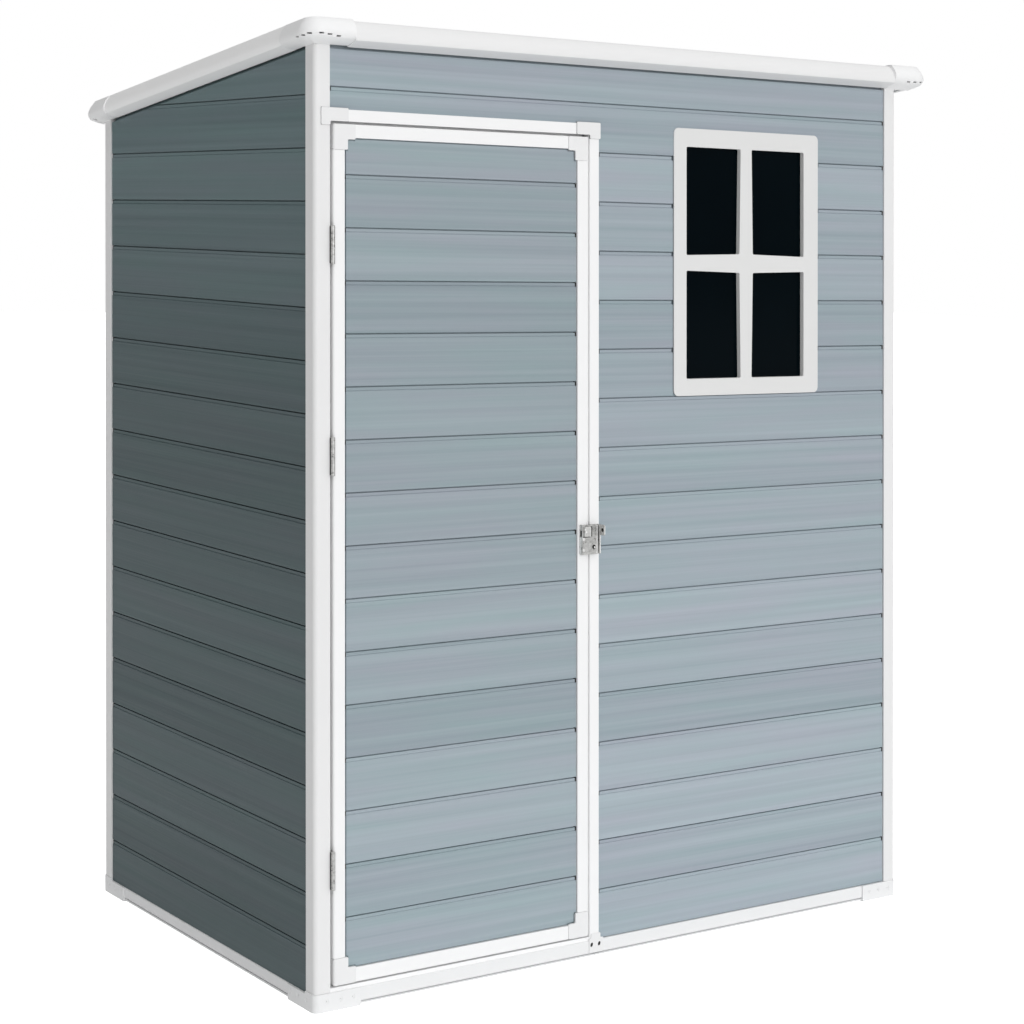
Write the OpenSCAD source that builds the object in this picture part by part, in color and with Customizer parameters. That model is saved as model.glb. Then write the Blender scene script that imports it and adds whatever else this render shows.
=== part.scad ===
// Resin storage shed with a pent roof: tongue-and-groove siding boards held between white corner
// posts, one outward-opening door and one fixed window. +X runs right along the front, +Y runs to
// the back, +Z is up, and the origin lies on the ground at the middle of the footprint.
// Lengths inside the modules are measured from the front left corner of the siding: X from the left
// wall's face, Y from the front wall's face (less than 0 stands out of it), Z from the ground.

/* [Body] */
// Width of the shed over the siding of the two side walls
body_w = 1520; // [1400:1:1900]
// Depth of the shed over the siding of the front and back walls
body_d = 932; // [650:1:1300]
// Height of the front wall from the base rail to the roof panel
front_h = 1826; // [1780:1:2300]
// Distance that the roof panel falls from front to back
roof_fall = 126; // [60:1:200]
// Thickness of the siding boards
wall_t = 20; // [14:1:28]

/* [Base] */
// Height of the front and back base rails above the ground
base_h = 35; // [28:1:60]
// Step from the front rail's top down to the side rails' top
side_step = 5; // [0:1:8]
// Air under the base rails, which hang between the corner blocks
rail_lift = 6; // [2:1:12]
// How far the base rails stand out of the siding
rail_proud = 3; // [1:0.5:4]
// Bevel along the lower outer edge of a base rail
rail_bevel = 4; // [1:0.5:8]
// Length of a corner block along each wall
block_leg = 98; // [70:1:140]
// How far the corner blocks stand out of the siding
block_proud = 5; // [4:0.5:7]
// Thickness of the floor panel
floor_t = 22; // [15:1:26]

/* [Posts] */
// Width of a corner post's face, from the siding's corner inwards
post_w = 31.5; // [28:0.5:50]
// How far the posts stand out of the siding
post_proud = 3; // [1:0.5:4]
// Radius of a post's outer edge
post_r = 9; // [4:1:14]

/* [Door] */
// Gap between the corner post and the door, where the hinge leaves lie
hinge_gap = 7; // [6:0.5:9]
// Width of the door leaf
door_w = 607; // [480:1:740]
// Height of the door leaf
door_h = 1647.5; // [1300:0.5:1680]
// Gap under the door leaf
door_lift = 13.5; // [5:0.5:18]
// Gap over the door leaf and at its latch side
door_gap = 5; // [5:0.5:8]
// Face width of the door's stiles and rails
door_frame_w = 26; // [22:1:45]
// Thickness of the door's stiles and rails
door_frame_t = 23; // [18:1:26]
// How far the door's stiles and rails stand out of the siding
door_proud = 3; // [1:0.5:4]
// Thickness of the door's siding panel
door_panel_t = 16; // [10:1:18]
// Length of a door corner joint along each side
joint_leg = 49; // [40:1:70]
// Extra width of a door corner joint over the stile
joint_extra = 3; // [1:0.5:5]
// How far a door corner joint stands out of the stile
joint_proud = 1.5; // [0.5:0.5:2]
// Height of the header bar over the door
header_h = 23; // [18:1:40]
// Face width of the jamb at the latch side
jamb_w = 24; // [18:1:36]
// Thickness of the brackets at the ends of the header and jamb
bracket_t = 2; // [1:0.5:3]
// How far a bracket laps past the bar that it holds
bracket_lap = 2.5; // [1:0.5:4]
// Length of a bracket along the header
bracket_leg = 60; // [45:1:80]
// Drop of a bracket below the header along the post and the jamb
bracket_drop = 8; // [4:1:16]
// Height of the foot bracket's plate on the base rail
foot_h = 29; // [22:1:31]
// Distance from the base rail's top up to the foot plate's upper edge
foot_rise = 4; // [2:1:8]
// Width of the foot bracket's plate on the base rail
foot_w = 36; // [30:1:44]
// How far the foot plate laps past the jamb
foot_lap = 10; // [4:1:14]
// Height of the foot bracket's tongue on the jamb above the base rail
foot_tongue = 14; // [8:1:30]

/* [Hinges and latch] */
// Height of a hinge
hinge_h = 73; // [60:1:100]
// Radius of a hinge knuckle
knuckle_r = 4.5; // [4:0.25:5.5]
// Radius of a hinge pin
pin_r = 2; // [1.5:0.25:2.5]
// Running clearance round the pin
pin_clear = 0.06; // [0.03:0.01:0.1]
// Distance of the pin's axis in front of the siding
pin_out = 7; // [6.5:0.5:9]
// Thickness of a hinge leaf
leaf_t = 1.5; // [1:0.25:2]
// Depth of a hinge leaf into the gap
leaf_d = 19; // [14:1:22]
// Gap between neighbouring knuckles
knuckle_gap = 0.5; // [0.3:0.1:1]
// Height of the lower hinge above the door's bottom
lower_hinge = 183.5; // [80:0.5:260]
// Distance from the door's top down to the upper hinge
upper_hinge = 195; // [80:1:260]
// Distance from the upper hinge down to the middle one
middle_hinge = 404; // [200:1:440]
// Height of the hasp plate's lower edge above the door's bottom
latch_z = 787.5; // [600:0.5:900]
// Height of the hasp plate
latch_h = 61; // [45:1:80]
// Width of the hasp's body on the door's stile
latch_w = 17.5; // [14:0.5:24]
// Reach of the hasp plate over the jamb
latch_reach = 18.5; // [14:0.5:19]
// Thickness of the latch's steel
latch_t = 2; // [1.5:0.5:3]
// Gap between the hasp plate and the stile, which the hasp's body fills
latch_step = 7; // [7:0.5:8]
// Distance that the padlock ear stands out of the jamb
ear_out = 21; // [16:1:24]
// Height of the padlock ear
ear_h = 22; // [16:1:28]
// Distance from the padlock ear's outer edge to the middle of its hole
ear_hole_in = 7; // [6:0.5:8]
// Radius of the padlock ear's hole
ear_hole_r = 4; // [3:0.5:5]
// Height of the round hole in the hasp plate above the plate's lower edge
hasp_hole_z = 15; // [10:1:20]
// Radius of the round hole in the hasp plate
hasp_hole_r = 3.25; // [2:0.25:4]
// Width of the raised block on the hasp
raised_w = 17; // [12:0.5:22]
// Height of the raised block on the hasp
raised_h = 20; // [14:1:26]
// Thickness of the raised block on the hasp
raised_t = 3; // [1:0.5:4]
// Margin between the raised block and the hasp's left and upper edges
raised_margin = 4; // [2:0.5:6]

/* [Window] */
// Distance from the left wall's face to the window frame
window_x = 874.5; // [800:0.5:940]
// Height of the window frame's lower edge above the base rail
window_z = 1121; // [700:1:1150]
// Width of the window frame
window_w = 410.5; // [300:0.5:490]
// Height of the window frame
window_h = 570; // [400:1:580]
// Radius of the window frame's corners
window_r = 12; // [4:1:20]
// How far the window frame's face stands out of the siding
window_t = 2.5; // [1.5:0.5:6]
// Depth of the window's sheet behind the siding's face
window_in = 8.5; // [4:0.5:10]
// Face width of the window frame
window_face = 39; // [30:1:50]
// Width of the window's bars at their ends
bar_end = 33; // [24:1:40]
// Width of the window's bars where they cross
bar_mid = 40; // [28:1:48]
// How far the window frame laps over the siding
window_lap = 14; // [8:1:18]
// Thickness of the window frame's collar in the wall
collar_t = 8; // [5:1:12]
// Thickness of the window's sheet
glass_t = 3; // [2:0.5:5]

/* [Roof] */
// Thickness of the roof panel
roof_t = 24; // [16:1:28]
// Clearance between the roof panel and the walls and posts that carry it
roof_seat = 0.1; // [0.05:0.05:0.3]
// Overhang of the roof's edging beyond the siding, at the front, the back and the left
overhang = 36; // [30:1:60]
// How much further the roof reaches out past the right wall
roof_extra = 41; // [0:1:60]
// Drop of the roof's edging below the roof panel
edge_drop = 18; // [12:1:30]
// Height of the roof's edging above the roof panel
edge_lip = 6; // [3:1:10]
// Distance from the siding to the edging's narrow top
edge_top_out = 14; // [8:1:24]
// Length of a roof corner cap along each side from the roof panel's corner
cap_leg = 70; // [50:1:100]
// Extra thickness of a corner cap over the edging
cap_extra = 3; // [1:0.5:5]

/* [Hidden] */
$fn = 48;

// Overlap of joined shapes, and length that a cutting shape runs past a face
eps = 0.01;
through = 1;
// Depth of the base rails and blocks under the posts
rail_d = post_w + rail_proud;
roof_w = body_w + roof_extra;
slope = roof_fall / body_d;
slope_angle = atan(slope);
side_h = base_h - side_step;

// Door opening
door_x = post_w + hinge_gap;
door_right = door_x + door_w;
door_z = base_h + door_lift;
door_top = door_z + door_h;
header_z = door_top + door_gap;
header_top = header_z + header_h;
jamb_x = door_right + door_gap;
jamb_right = jamb_x + jamb_w;
jamb_mid = jamb_x + jamb_w / 2;

// Hinges
pin_x = post_w + hinge_gap / 2;
upper_hinge_z = door_top - upper_hinge - hinge_h;
hinge_heights = [door_z + lower_hinge, upper_hinge_z - middle_hinge, upper_hinge_z];
segments = 5;
segment_h = hinge_h / segments;

// Window opening
window_bottom = base_h + window_z;
window_top = window_bottom + window_h;
hole_x = window_x + window_lap;
hole_right = window_x + window_w - window_lap;
hole_z = window_bottom + window_lap;
hole_top = window_top - window_lap;

// Outer line of the roof's edging: distance out of the siding, height over the roof panel's underside
edge_line = [
  [overhang * 0.55, -edge_drop * 0.92], [overhang * 0.86, -edge_drop * 0.78],
  [overhang * 0.97, -edge_drop * 0.6], [overhang, -edge_drop * 0.36], [overhang * 0.97, -edge_drop * 0.05],
  [overhang * 0.86, roof_t * 0.32], [overhang * 0.62, roof_t * 0.95], [edge_top_out, roof_t + edge_lip]
];

// Outlines of the edging and of the thicker corner caps, whose inner sides are stepped round the posts
cap_turns = 8;
cap_inner = 0.5;
edge_shape = edge_outline(0, 0);
cap_shape = edge_outline(cap_extra, cap_inner);

// Edging's outline, thicker by extra, with its upper inner side at a distance inner from the roof panel
function edge_outline(extra, inner) = concat(
  [[post_proud, -edge_drop - extra / 2]],
  [for (p = edge_line) [p[0] + extra * p[0] / overhang, p[1] + (p[1] > 0 ? extra : -extra / 2)]],
  [[inner, roof_t + edge_lip + extra], [inner, cap_inner], [post_proud, cap_inner]]
);

// Height of the roof panel's underside at a distance from the front wall's face
function roof_z(y) = base_h + front_h - slope * y;

// Moves the siding's front left corner to its place about the origin
module placed() {
  translate([-body_w / 2, -body_d / 2, 0])
    children();
}

// Copies a left-hand piece to the right-hand side
module to_right() {
  translate([body_w, 0, 0])
    mirror([1, 0, 0])
      children();
}

// Copies a left-hand piece of the roof to its right-hand side
module to_roof_right() {
  translate([roof_extra, 0, 0])
    to_right()
      children();
}

// Copies a front piece to the back
module to_back() {
  translate([0, body_d, 0])
    mirror([0, 1, 0])
      children();
}

// Upright block whose top is cut by the roof panel's underside
module upright(x, y, w, d, z) {
  translate([x, 0, 0])
    rotate([90, 0, 90])
      linear_extrude(w)
        polygon([[y, z], [y + d, z], [y + d, roof_z(y + d) - roof_seat], [y, roof_z(y) - roof_seat]]);
}

// Square corner of side length size, standing out of the siding by proud, with its outer edge rounded
module rounded_corner(size, proud, r, h) {
  linear_extrude(h) {
    translate([r - proud, r - proud])
      circle(r);
    translate([r - proud, -proud])
      square([size + proud - r, size + proud]);
    translate([-proud, r - proud])
      square([size + proud, size + proud - r]);
  }
}

// ---- base ----
module floor_panel() {
  color("dimgray")
    translate([rail_d, rail_d, 0])
      cube([body_w - 2 * rail_d, body_d - 2 * rail_d, floor_t]);
}

// Base rail along X, with its lower outer edge bevelled
module rail_x(x, length, top) {
  translate([x, 0, 0])
    rotate([90, 0, 90])
      linear_extrude(length)
        polygon([
          [-rail_proud + rail_bevel, rail_lift], [rail_d, rail_lift], [rail_d, top],
          [-rail_proud, top], [-rail_proud, rail_lift + rail_bevel]
        ]);
}

// Base rail along Y at the left-hand side
module side_rail() {
  translate([0, body_d - block_leg, 0])
    rotate([90, 0, 0])
      linear_extrude(body_d - 2 * block_leg)
        polygon([
          [-rail_proud + rail_bevel, rail_lift], [rail_d, rail_lift], [rail_d, side_h],
          [-rail_proud, side_h], [-rail_proud, rail_lift + rail_bevel]
        ]);
}

module base_sill() {
  color("white") rail_x(block_leg, jamb_mid - block_leg, base_h);
}

module base_rail_front() {
  color("white") rail_x(jamb_mid, body_w - block_leg - jamb_mid, base_h);
}

module base_rail_back() {
  color("white") to_back() rail_x(block_leg, body_w - 2 * block_leg, base_h);
}

module base_rail_left() {
  color("white") side_rail();
}

module base_rail_right() {
  color("white") to_right() side_rail();
}

// Corner block: an L of two legs under the post, lower under the side wall
module base_corner() {
  color("white")
    difference() {
      rounded_corner(block_leg, block_proud, post_r + block_proud - post_proud, base_h);
      translate([rail_d, rail_d, -eps])
        cube([block_leg, block_leg, base_h + 2 * eps]);
      translate([-block_proud - eps, post_w, side_h])
        cube([rail_d + block_proud + 2 * eps, block_leg, base_h]);
    }
}

// ---- posts and walls ----
module post_front() {
  color("white")
    intersection() {
      translate([0, 0, base_h])
        rounded_corner(post_w, post_proud, post_r, front_h + base_h);
      upright(-post_proud, -post_proud, post_w + post_proud, post_w + post_proud, base_h);
    }
}

// The back posts are shorter, because the roof falls towards them
module post_back() {
  color("white")
    intersection() {
      translate([0, 0, base_h])
        to_back() rounded_corner(post_w, post_proud, post_r, front_h);
      upright(-post_proud, body_d - post_w, post_w + post_proud, post_w + post_proud, base_h);
    }
}

module wall_left() {
  color("slategray") upright(0, post_w, wall_t, body_d - 2 * post_w, side_h);
}

module wall_back() {
  color("slategray") upright(post_w, body_d - wall_t, body_w - 2 * post_w, wall_t, base_h);
}

// Siding over the door and the window
module wall_front_top() {
  color("lightslategray")
    union() {
      upright(post_w, 0, jamb_right - post_w, wall_t, header_top);
      upright(jamb_right, 0, body_w - post_w - jamb_right, wall_t, hole_top);
    }
}

// Siding between the door's jamb and the window
module wall_front_middle() {
  color("lightslategray")
    translate([jamb_right, 0, base_h])
      cube([hole_x - jamb_right, wall_t, hole_top - base_h]);
}

module wall_under_window() {
  color("lightslategray")
    translate([hole_x, 0, base_h])
      cube([hole_right - hole_x, wall_t, hole_z - base_h]);
}

module wall_front_right() {
  color("lightslategray")
    translate([hole_right, 0, base_h])
      cube([body_w - post_w - hole_right, wall_t, hole_top - base_h]);
}

// ---- door opening ----
module door_header() {
  color("white")
    translate([post_w, -door_proud, header_z])
      cube([jamb_right - post_w, wall_t + door_proud, header_h]);
}

module door_jamb() {
  color("white")
    translate([jamb_x, -door_proud, base_h])
      cube([jamb_w, wall_t + door_proud, header_z - base_h]);
}

// Bracket plates on the face of the header, the post and the jamb
module frame_brackets() {
  face = -door_proud - bracket_t;
  color("whitesmoke") {
    translate([post_w - bracket_leg / 3, face, header_z])
      cube([bracket_leg, bracket_t, header_h + bracket_lap]);
    translate([post_w - bracket_leg / 3, face, header_z - bracket_drop])
      cube([bracket_leg / 3, bracket_t, bracket_drop]);
    translate([jamb_right + bracket_lap - bracket_leg, face, header_z])
      cube([bracket_leg, bracket_t, header_h + bracket_lap]);
    translate([jamb_x, face, header_z - bracket_drop])
      cube([jamb_w + bracket_lap, bracket_t, bracket_drop]);
    translate([jamb_right + foot_lap - foot_w, face, base_h + foot_rise - foot_h])
      cube([foot_w, bracket_t, foot_h]);
    translate([jamb_x + bracket_lap, face, base_h + foot_rise - eps])
      cube([jamb_w, bracket_t, foot_tongue - foot_rise + eps]);
  }
}

// ---- window ----
// Frame face: a rounded outline with four panes whose sides lean towards the crossing
module window_face_shape() {
  cx = window_w / 2;
  cz = window_h / 2;
  difference() {
    union() {
      translate([window_r, 0])
        square([window_w - 2 * window_r, window_h]);
      translate([0, window_r])
        square([window_w, window_h - 2 * window_r]);
      for (x = [window_r, window_w - window_r], z = [window_r, window_h - window_r])
        translate([x, z])
          circle(window_r);
    }
    for (mx = [0, 1], mz = [0, 1])
      translate([cx, cz])
        mirror([mx, 0])
          mirror([0, mz])
            polygon([
              [bar_mid / 2, bar_mid / 2], [cx - window_face, bar_end / 2],
              [cx - window_face, cz - window_face], [bar_end / 2, cz - window_face]
            ]);
  }
}

// Frame face on the siding, its part inside the hole, and a collar behind the sheet
module window_frame() {
  color("white")
    union() {
      translate([window_x, 0, window_bottom])
        rotate([90, 0, 0])
          linear_extrude(window_t)
            window_face_shape();
      intersection() {
        translate([window_x, window_in, window_bottom])
          rotate([90, 0, 0])
            linear_extrude(window_in)
              window_face_shape();
        translate([hole_x, -through, hole_z])
          cube([hole_right - hole_x, wall_t + through, hole_top - hole_z]);
      }
      difference() {
        translate([hole_x, window_in, hole_z])
          cube([hole_right - hole_x, wall_t - window_in, hole_top - hole_z]);
        translate([hole_x + collar_t, window_in - through, hole_z + collar_t])
          cube([hole_right - hole_x - 2 * collar_t, wall_t, hole_top - hole_z - 2 * collar_t]);
      }
    }
}

module window_glass() {
  color("black")
    translate([hole_x + collar_t, window_in, hole_z + collar_t])
      cube([hole_right - hole_x - 2 * collar_t, glass_t, hole_top - hole_z - 2 * collar_t]);
}

// ---- roof ----
module roof_panel() {
  color("slategray")
    rotate([90, 0, 90])
      linear_extrude(roof_w)
        polygon([
          [0, roof_z(0)], [body_d, roof_z(body_d)],
          [body_d, roof_z(body_d) + roof_t], [0, roof_z(0) + roof_t]
        ]);
}

// Edging along X at the front, from x to x + length; lean tips its outline with the roof's slope
module edge_run_x(shape, x, length, z, lean) {
  translate([x, 0, z])
    rotate([90, 0, 90])
      linear_extrude(length)
        polygon([for (p = shape) [-p[0], p[1] + lean * p[0]]]);
}

// Edging along Y at the left-hand side, following the roof's slope between two upright cuts
module edge_run_y(shape, y, length) {
  room = 2 * overhang;
  intersection() {
    translate([0, 0, roof_z(0)])
      rotate([-slope_angle, 0, 0])
        translate([0, body_d + 2 * room, 0])
          rotate([90, 0, 0])
            linear_extrude(body_d + 4 * room)
              polygon([for (p = shape) [-p[0], p[1] * cos(slope_angle)]]);
    translate([-room, y, 0])
      cube([room, length, base_h + front_h + 4 * room]);
  }
}

module roof_edge_front() {
  color("white") edge_run_x(edge_shape, cap_leg, roof_w - 2 * cap_leg, roof_z(0), slope);
}

module roof_edge_back() {
  color("white")
    to_back() edge_run_x(edge_shape, cap_leg, roof_w - 2 * cap_leg, roof_z(body_d), -slope);
}

module roof_edge_left() {
  color("white") edge_run_y(edge_shape, cap_leg, body_d - 2 * cap_leg);
}

module roof_edge_right() {
  color("white") to_roof_right() edge_run_y(edge_shape, cap_leg, body_d - 2 * cap_leg);
}

// Corner cap at the front left of a roof whose underside lies at height z over the corner and rises
// by lean for each millimetre outwards: its outline is swept along the side, round the corner and
// along the front
module roof_cap(z, lean) {
  turns = [for (i = [0 : cap_turns]) [0, 0, 90 * i / cap_turns]];
  stops = concat([[0, cap_leg, 0]], turns, [[cap_leg, 0, 90]]);
  n = len(cap_shape);
  points = [for (s = stops, p = cap_shape)
    let (x = s[0] - p[0] * cos(s[2]), y = s[1] - p[0] * sin(s[2]))
      [x, y, z + p[1] - lean * y]];
  sides = [for (i = [0 : len(stops) - 2], k = [0 : n - 1])
    let (a = i * n + k, b = i * n + (k + 1) % n)
      [a, a + n, b + n, b]];
  ends = [[for (k = [0 : n - 1]) k], [for (k = [0 : n - 1]) len(points) - 1 - k]];
  polyhedron(points = points, faces = concat(sides, ends));
}

module roof_cap_front() {
  color("white") roof_cap(roof_z(0), slope);
}

module roof_cap_back() {
  color("white") to_back() roof_cap(roof_z(body_d), -slope);
}

// ---- hinges ----
// Foot and height of a hinge's knuckle number i: half a gap is left at each inner end
function knuckle_z(i) = i * segment_h + (i == 0 ? 0 : knuckle_gap / 2);
function knuckle_h(i) = segment_h - (i == 0 || i == segments - 1 ? 0.5 : 1) * knuckle_gap;

// One hinge's knuckles: first is 0 for the post's three, 1 for the door's two
module knuckles(first) {
  for (i = [first : 2 : segments - 1])
    translate([pin_x, -pin_out, knuckle_z(i)])
      cylinder(r = knuckle_r, h = knuckle_h(i));
}

// Leaf against the post or the stile, with tabs out to its knuckles
module leaf(x, first) {
  inner_y = -pin_out + knuckle_r + knuckle_gap;
  translate([x, inner_y, 0])
    cube([leaf_t, leaf_d - inner_y, hinge_h]);
  for (i = [first : 2 : segments - 1])
    translate([x, -pin_out, knuckle_z(i)])
      cube([leaf_t, pin_out + inner_y + eps, knuckle_h(i)]);
}

module hinges_on_post() {
  color("silver")
    for (z = hinge_heights)
      translate([0, 0, z]) {
        knuckles(0);
        leaf(post_w, 0);
        translate([pin_x, -pin_out, 0])
          cylinder(r = pin_r, h = hinge_h);
      }
}

module hinges_on_door() {
  color("silver")
    for (z = hinge_heights)
      translate([0, 0, z])
        difference() {
          union() {
            knuckles(1);
            leaf(door_x - leaf_t, 1);
          }
          translate([pin_x, -pin_out, -through])
            cylinder(r = pin_r + pin_clear, h = hinge_h + 2 * through);
        }
}

// ---- door ----
module door_panel() {
  color("lightslategray")
    translate([door_x + door_frame_w, 0, door_z + door_frame_w])
      cube([door_w - 2 * door_frame_w, door_panel_t, door_h - 2 * door_frame_w]);
}

module door_stile(x) {
  color("white")
    translate([x, -door_proud, door_z + joint_leg])
      cube([door_frame_w, door_frame_t, door_h - 2 * joint_leg]);
}

module door_rail(z) {
  color("white")
    translate([door_x + joint_leg, -door_proud, z])
      cube([door_w - 2 * joint_leg, door_frame_t, door_frame_w]);
}

// Four L-shaped joints between the stiles and rails, a little wider and prouder than they are
module door_corner_joints() {
  width = door_frame_w + joint_extra;
  color("whitesmoke")
    for (mx = [0, 1], mz = [0, 1])
      translate([door_x + door_w / 2, 0, door_z + door_h / 2])
        mirror([mx, 0, 0])
          mirror([0, 0, mz])
            translate([door_w / 2, 0, door_h / 2])
              joint(width);
}

// One joint at the upper right corner; its back part holds the ends of stile and rail
module joint(width) {
  difference() {
    translate([-joint_leg, -door_proud - joint_proud, -joint_leg])
      cube([joint_leg, door_frame_t + joint_proud, joint_leg]);
    translate([-joint_leg - eps, -door_proud - joint_proud - eps, -joint_leg - eps])
      cube([joint_leg - width + eps, door_frame_t + joint_proud + 2 * eps, joint_leg - width + eps]);
    translate([-joint_leg - eps, -eps, -joint_leg - eps])
      cube([joint_leg - door_frame_w + eps, door_panel_t + eps, joint_leg - door_frame_w + eps]);
  }
}

// ---- latch ----
// Hasp: a folded body on the stile, a plate that reaches over the jamb, and a raised block
module latch_hasp() {
  face_y = -door_proud - latch_t - latch_step;
  z = door_z + latch_z;
  color("silver")
    union() {
      translate([door_right - latch_w, face_y, z])
        cube([latch_w, latch_t + latch_step, latch_h]);
      difference() {
        translate([door_right - eps, face_y, z])
          cube([latch_reach + eps, latch_t, latch_h]);
        translate([door_right + latch_reach / 2, face_y - through, z + hasp_hole_z])
          rotate([-90, 0, 0])
            cylinder(r = hasp_hole_r, h = latch_t + 2 * through);
      }
      translate([
        door_right - latch_w + raised_margin, face_y - raised_t, z + latch_h - raised_margin - raised_h
      ])
        cube([raised_w, raised_t + eps, raised_h]);
    }
}

// Keeper: a plate on the jamb with an upright flange and the padlock's ear
module latch_keeper() {
  plate_y = -door_proud - latch_t;
  z = door_z + latch_z;
  flange_x = door_right + latch_reach + door_gap;
  color("silver")
    union() {
      translate([jamb_x, plate_y, z])
        cube([flange_x - jamb_x + eps, latch_t, latch_h]);
      translate([flange_x, plate_y - latch_step, z])
        cube([latch_t, latch_t + latch_step, latch_h]);
      difference() {
        translate([flange_x, -door_proud - ear_out, z + latch_h - ear_h])
          cube([latch_t, ear_out, ear_h]);
        translate([flange_x - through, -door_proud - ear_out + ear_hole_in, z + latch_h - ear_h / 2])
          rotate([0, 90, 0])
            cylinder(r = ear_hole_r, h = latch_t + 2 * through);
      }
    }
}

placed() floor_panel();
placed() base_sill();
placed() base_rail_front();
placed() base_rail_left();
placed() base_rail_right();
placed() base_rail_back();
placed() base_corner();  // base_corner_front_left
placed() to_right() base_corner();  // base_corner_front_right
placed() to_back() base_corner();  // base_corner_back_left
placed() to_right() to_back() base_corner();  // base_corner_back_right
placed() post_front();  // post_front_left
placed() to_right() post_front();  // post_front_right
placed() post_back();  // post_back_left
placed() to_right() post_back();  // post_back_right
placed() wall_left();
placed() to_right() wall_left();  // wall_right
placed() wall_back();
placed() wall_front_top();
placed() wall_front_middle();
placed() wall_front_right();
placed() wall_under_window();
placed() door_header();
placed() door_jamb();
placed() frame_brackets();
placed() window_frame();
placed() window_glass();
placed() roof_panel();
placed() roof_edge_front();
placed() roof_edge_back();
placed() roof_edge_left();
placed() roof_edge_right();
placed() roof_cap_front();  // roof_cap_front_left
placed() to_roof_right() roof_cap_front();  // roof_cap_front_right
placed() roof_cap_back();  // roof_cap_back_left
placed() to_roof_right() roof_cap_back();  // roof_cap_back_right
placed() hinges_on_post();
placed() latch_keeper();
placed() door_panel();
placed() door_stile(door_x);  // door_stile_hinge
placed() door_stile(door_right - door_frame_w);  // door_stile_latch
placed() door_rail(door_top - door_frame_w);  // door_rail_top
placed() door_rail(door_z);  // door_rail_bottom
placed() door_corner_joints();
placed() hinges_on_door();
placed() latch_hasp();
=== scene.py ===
"""Resin storage shed: the looks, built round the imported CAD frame."""
import math

import bpy
import numpy as np
from mathutils import Matrix, Vector


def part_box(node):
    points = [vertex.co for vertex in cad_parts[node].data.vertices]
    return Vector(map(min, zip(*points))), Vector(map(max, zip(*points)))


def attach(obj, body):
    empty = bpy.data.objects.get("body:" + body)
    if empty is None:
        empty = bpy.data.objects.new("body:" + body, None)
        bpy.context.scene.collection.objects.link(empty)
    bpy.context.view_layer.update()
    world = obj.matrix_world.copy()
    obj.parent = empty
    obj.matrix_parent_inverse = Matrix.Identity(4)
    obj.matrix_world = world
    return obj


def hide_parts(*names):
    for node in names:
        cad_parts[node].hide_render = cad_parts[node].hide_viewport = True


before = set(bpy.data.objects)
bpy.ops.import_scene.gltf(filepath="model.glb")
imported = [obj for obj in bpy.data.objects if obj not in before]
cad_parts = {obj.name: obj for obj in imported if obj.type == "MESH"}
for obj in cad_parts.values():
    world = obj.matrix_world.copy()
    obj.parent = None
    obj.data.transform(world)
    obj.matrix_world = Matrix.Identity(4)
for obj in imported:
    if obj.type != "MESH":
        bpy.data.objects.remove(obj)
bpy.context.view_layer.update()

# ---- Base corner blocks ----
# Four L-shaped blocks of white resin stand on the ground under the posts and carry the whole shed.
# Each is one moulding with an embossed grain and three shallow screw dimples along each leg.


def pick(*pieces):
    """Leaves only these pieces selected, with the first one active."""
    bpy.ops.object.select_all(action="DESELECT")
    for piece in pieces:
        piece.select_set(True)
    bpy.context.view_layer.objects.active = pieces[0]


def modify(piece, kind, **settings):
    """Gives a piece one modifier and applies it."""
    pick(piece)
    bpy.ops.object.modifier_add(type=kind)
    for setting, value in settings.items():
        setattr(piece.modifiers[-1], setting, value)
    bpy.ops.object.modifier_apply(modifier=piece.modifiers[-1].name)


def copied(node):
    """The CAD piece's mesh in a new object, its loose triangles joined into whole flat faces."""
    piece = bpy.data.objects.new(node + "_finished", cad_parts[node].data.copy())
    bpy.context.collection.objects.link(piece)
    pick(piece)
    bpy.ops.mesh.customdata_custom_splitnormals_clear()
    bpy.ops.object.mode_set(mode="EDIT")
    bpy.ops.mesh.select_all(action="SELECT")
    bpy.ops.mesh.remove_doubles(threshold=0.00001)
    bpy.ops.mesh.dissolve_limited(angle_limit=math.radians(0.5))
    bpy.ops.object.mode_set(mode="OBJECT")
    return piece


def soften(piece, width, segments=3, angle=30):
    """Rounds a moulding's sharp edges."""
    sharp = math.radians(angle)
    modify(piece, "BEVEL", width=width, segments=segments, limit_method="ANGLE", angle_limit=sharp)


def joined(*pieces, name=None):
    """Several loose shapes made one object, which gets its name here if it stays in the shed."""
    pick(*pieces)
    if len(pieces) > 1:
        bpy.ops.object.join()
    if name:
        bpy.context.object.name = name
    return bpy.context.object


def cut(piece, *cutters):
    """Takes the cutters' shapes out of a piece."""
    cutter = joined(*cutters)
    modify(piece, "BOOLEAN", operation="DIFFERENCE", solver="EXACT", object=cutter)
    bpy.data.objects.remove(cutter)


def finish(piece, material, slot, *nodes, body="root", angle=35):
    """Settles a piece in place with its shading and material, and hands it to its body for its CAD nodes."""
    pick(piece)
    bpy.ops.object.transform_apply(location=True, rotation=True, scale=True)
    bpy.ops.object.shade_smooth_by_angle(angle=math.radians(angle))
    modify(piece, "WEIGHTED_NORMAL", keep_sharp=True)
    piece.data.materials.clear()
    piece.data.materials.append(material)
    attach(piece, body)
    if nodes:
        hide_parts(*nodes)


def wire(material, node, inputs):
    """Sets a shader node's inputs, or links them where they come from another node."""
    for socket, value in inputs.items():
        if isinstance(value, bpy.types.NodeSocket):
            material.node_tree.links.new(value, node.inputs[socket])
        else:
            node.inputs[socket].default_value = value


def shade(material, kind, inputs=None, **settings):
    """Adds a shader node to a material and returns its outputs."""
    made = material.node_tree.nodes.new("ShaderNode" + kind)
    for setting, value in settings.items():
        setattr(made, setting, value)
    wire(material, made, inputs or {})
    return made.outputs


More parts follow.
